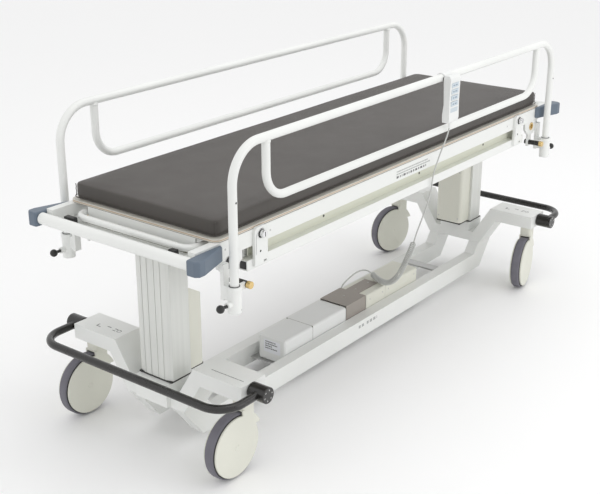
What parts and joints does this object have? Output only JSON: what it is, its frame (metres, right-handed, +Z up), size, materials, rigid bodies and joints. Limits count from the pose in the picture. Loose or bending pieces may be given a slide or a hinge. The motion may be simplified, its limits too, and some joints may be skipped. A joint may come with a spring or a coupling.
{
  "type": "stretcher trolley",
  "caption": "Height-adjustable hospital stretcher trolley on swivel castors, with lowering side rails, a flat mattress, lifting columns and a wired handset.",
  "frame": {"origin": "on the floor under the middle of the trolley's overall length and width, castors standing on z = 0", "axes": "+X towards the head end along the trolley, +Y to the far side, +Z up"},
  "size_m": [2.1295, 0.806, 0.996],
  "materials": {
    "white_enamel": "semi-gloss white powder coat",
    "steel": "satin",
    "chrome_pin": "polished",
    "brass": "turned",
    "black_enamel": "semi-gloss black",
    "cream_plastic": "fine-grained moulding",
    "white_plastic": "fine-grained moulding",
    "grey_sheet": "matt warm grey",
    "wheel_core": "moulded",
    "grey_tyre": "non-marking grey rubber",
    "blue_grey_bumper": "matt",
    "laminate": "compact laminate board",
    "mattress_cover": "wipe-clean coated fabric",
    "black_plastic": "ball knob",
    "key_face": "membrane key",
    "lead_jacket": "light grey cord jacket"
  },
  "bodies": {
    "chassis": {"cross_member_foot": "white_enamel", "cross_member_head": "white_enamel", "chassis_rail_near": "white_enamel", "chassis_rail_far": "white_enamel", "chassis_straps": "steel", "column_outer_foot": "white_enamel", "column_outer_head": "white_enamel", "motor_housing_foot": "cream_plastic", "motor_housing_head": "cream_plastic", "control_box_cap": "white_plastic", "control_box_cover": "white_plastic", "supply_boxes": "cream_plastic", "cover_bracket": "grey_sheet", "curly_cord": "lead_jacket", "handset_lead_tail": "lead_jacket"},
    "foot_brake": {"brake_bar_foot": "black_enamel"},
    "head_brake": {"brake_bar_head": "black_enamel"},
    "head_lift": {"column_stage_head": "steel", "column_yoke_head": "white_enamel"},
    "foot_lift_lower": {"column_stage_foot_lower": "steel"},
    "foot_lift_upper": {"column_stage_foot_upper": "steel", "column_yoke_foot": "white_enamel"},
    "deck": {"deck_side_rail_near": "white_enamel", "deck_side_rail_far": "white_enamel", "deck_cross_members": "white_enamel", "deck_end_tubes": "white_enamel", "deck_boards": "laminate", "mattress": "mattress_cover", "corner_bumpers": "blue_grey_bumper", "deck_side_plates": "white_enamel", "rail_sockets": "white_enamel", "clamp_rods": "black_enamel", "brass_fittings": "brass", "pivot_pins": "chrome_pin", "handset_lead_lower": "lead_jacket"},
    "near_rail": {"side_rail_near": "white_enamel", "handset_lead_upper": "lead_jacket"},
    "far_rail": {"side_rail_far": "white_enamel"},
    "handset": {"handset": "white_plastic", "handset_lead_top": "lead_jacket"},
    "castor_foot_near": {"castor_hood_foot_near": "cream_plastic"},
    "wheel_foot_near": {"wheel_foot_near": "wheel_core", "tyre_foot_near": "grey_tyre"},
    "plunger_foot_near": {"plunger_foot_near": "black_plastic"},
    "castor_foot_far": {"castor_hood_foot_far": "cream_plastic"},
    "wheel_foot_far": {"wheel_foot_far": "wheel_core", "tyre_foot_far": "grey_tyre"},
    "plunger_foot_far": {"plunger_foot_far": "black_plastic"},
    "castor_head_near": {"castor_hood_head_near": "cream_plastic"},
    "wheel_head_near": {"wheel_head_near": "wheel_core", "tyre_head_near": "grey_tyre"},
    "plunger_head_near": {"plunger_head_near": "black_plastic"},
    "castor_head_far": {"castor_hood_head_far": "cream_plastic"},
    "wheel_head_far": {"wheel_head_far": "wheel_core", "tyre_head_far": "grey_tyre"},
    "plunger_head_far": {"plunger_head_far": "black_plastic"},
    "key_1": {"handset_button_1": "key_face"},
    "key_2": {"handset_button_2": "key_face"},
    "key_3": {"handset_button_3": "key_face"},
    "key_4": {"handset_button_4": "key_face"}
  },
  "joints": [
    {"name": "castor_swivel_foot_near", "type": "hinge", "parent": "chassis", "child": "castor_foot_near", "pos_m": [-0.8627, -0.303, 0.22], "axis": [0, 0, 1], "continuous": true},
    {"name": "wheel_spin_foot_near", "type": "hinge", "parent": "castor_foot_near", "child": "wheel_foot_near", "pos_m": [-0.9177, -0.303, 0.1], "axis": [0, 1, 0], "continuous": true},
    {"name": "castor_swivel_foot_far", "type": "hinge", "parent": "chassis", "child": "castor_foot_far", "pos_m": [-0.8627, 0.303, 0.22], "axis": [0, 0, 1], "continuous": true},
    {"name": "wheel_spin_foot_far", "type": "hinge", "parent": "castor_foot_far", "child": "wheel_foot_far", "pos_m": [-0.9177, 0.303, 0.1], "axis": [0, 1, 0], "continuous": true},
    {"name": "castor_swivel_head_near", "type": "hinge", "parent": "chassis", "child": "castor_head_near", "pos_m": [0.8943, -0.303, 0.22], "axis": [0, 0, 1], "continuous": true},
    {"name": "wheel_spin_head_near", "type": "hinge", "parent": "castor_head_near", "child": "wheel_head_near", "pos_m": [0.8405, -0.31444, 0.1], "axis": [-0.2079, 0.9781, 0], "continuous": true},
    {"name": "castor_swivel_head_far", "type": "hinge", "parent": "chassis", "child": "castor_head_far", "pos_m": [0.8943, 0.303, 0.22], "axis": [0, 0, 1], "continuous": true},
    {"name": "wheel_spin_head_far", "type": "hinge", "parent": "castor_head_far", "child": "wheel_head_far", "pos_m": [0.8405, 0.31444, 0.1], "axis": [0.2079, 0.9781, 0], "continuous": true},
    {"name": "foot_brake_pedal", "type": "hinge", "parent": "chassis", "child": "foot_brake", "pos_m": [-0.8707, 0, 0.271], "axis": [0, 1, 0], "range_deg": [-15, 15]},
    {"name": "head_brake_pedal", "type": "hinge", "parent": "chassis", "child": "head_brake", "pos_m": [0.9023, 0, 0.271], "axis": [0, 1, 0], "range_deg": [-15, 15]},
    {"name": "head_column_lift", "type": "slide", "parent": "chassis", "child": "head_lift", "axis": [0, 0, 1], "range_m": [0, 0.3]},
    {"name": "foot_column_lift", "type": "slide", "parent": "chassis", "child": "foot_lift_lower", "axis": [0, 0, 1], "range_m": [0, 0.3]},
    {"name": "deck_tilt", "type": "hinge", "parent": "head_lift", "child": "deck", "pos_m": [0.7603, 0, 0.698], "axis": [0, 1, 0], "range_deg": [0, 8]},
    {"name": "foot_column_extend", "type": "slide", "parent": "foot_lift_lower", "child": "foot_lift_upper", "axis": [0, 0, 1], "range_m": [0, 0.215]},
    {"name": "near_rail_slide", "type": "slide", "parent": "deck", "child": "near_rail", "axis": [0, 0, 1], "range_m": [-0.205, 0]},
    {"name": "far_rail_slide", "type": "slide", "parent": "deck", "child": "far_rail", "axis": [0, 0, 1], "range_m": [-0.205, 0]},
    {"name": "handset_lift_off", "type": "slide", "parent": "near_rail", "child": "handset", "axis": [0, 0, 1], "range_m": [0, 0.025]},
    {"name": "plunger_pull_foot_near", "type": "slide", "parent": "deck", "child": "plunger_foot_near", "axis": [-1, 0, 0], "range_m": [0, 0.008], "stiffness_N_per_m": 400},
    {"name": "plunger_pull_foot_far", "type": "slide", "parent": "deck", "child": "plunger_foot_far", "axis": [-1, 0, 0], "range_m": [0, 0.008], "stiffness_N_per_m": 400},
    {"name": "plunger_pull_head_near", "type": "slide", "parent": "deck", "child": "plunger_head_near", "axis": [1, 0, 0], "range_m": [0, 0.008], "stiffness_N_per_m": 400},
    {"name": "plunger_pull_head_far", "type": "slide", "parent": "deck", "child": "plunger_head_far", "axis": [1, 0, 0], "range_m": [0, 0.008], "stiffness_N_per_m": 400},
    {"name": "key_press_1", "type": "slide", "parent": "handset", "child": "key_1", "axis": [0, 1, 0], "range_m": [0, 0.001], "stiffness_N_per_m": 500},
    {"name": "key_press_2", "type": "slide", "parent": "handset", "child": "key_2", "axis": [0, 1, 0], "range_m": [0, 0.001], "stiffness_N_per_m": 500},
    {"name": "key_press_3", "type": "slide", "parent": "handset", "child": "key_3", "axis": [0, 1, 0], "range_m": [0, 0.001], "stiffness_N_per_m": 500},
    {"name": "key_press_4", "type": "slide", "parent": "handset", "child": "key_4", "axis": [0, 1, 0], "range_m": [0, 0.001], "stiffness_N_per_m": 500}
  ],
  "couplings": [
    {"joint": "head_brake_pedal", "follows": "foot_brake_pedal", "ratio": 1},
    {"joint": "foot_column_lift", "follows": "head_column_lift", "ratio": 1},
    {"joint": "foot_column_extend", "follows": "deck_tilt", "m_per_rad": 1.523}
  ]
}
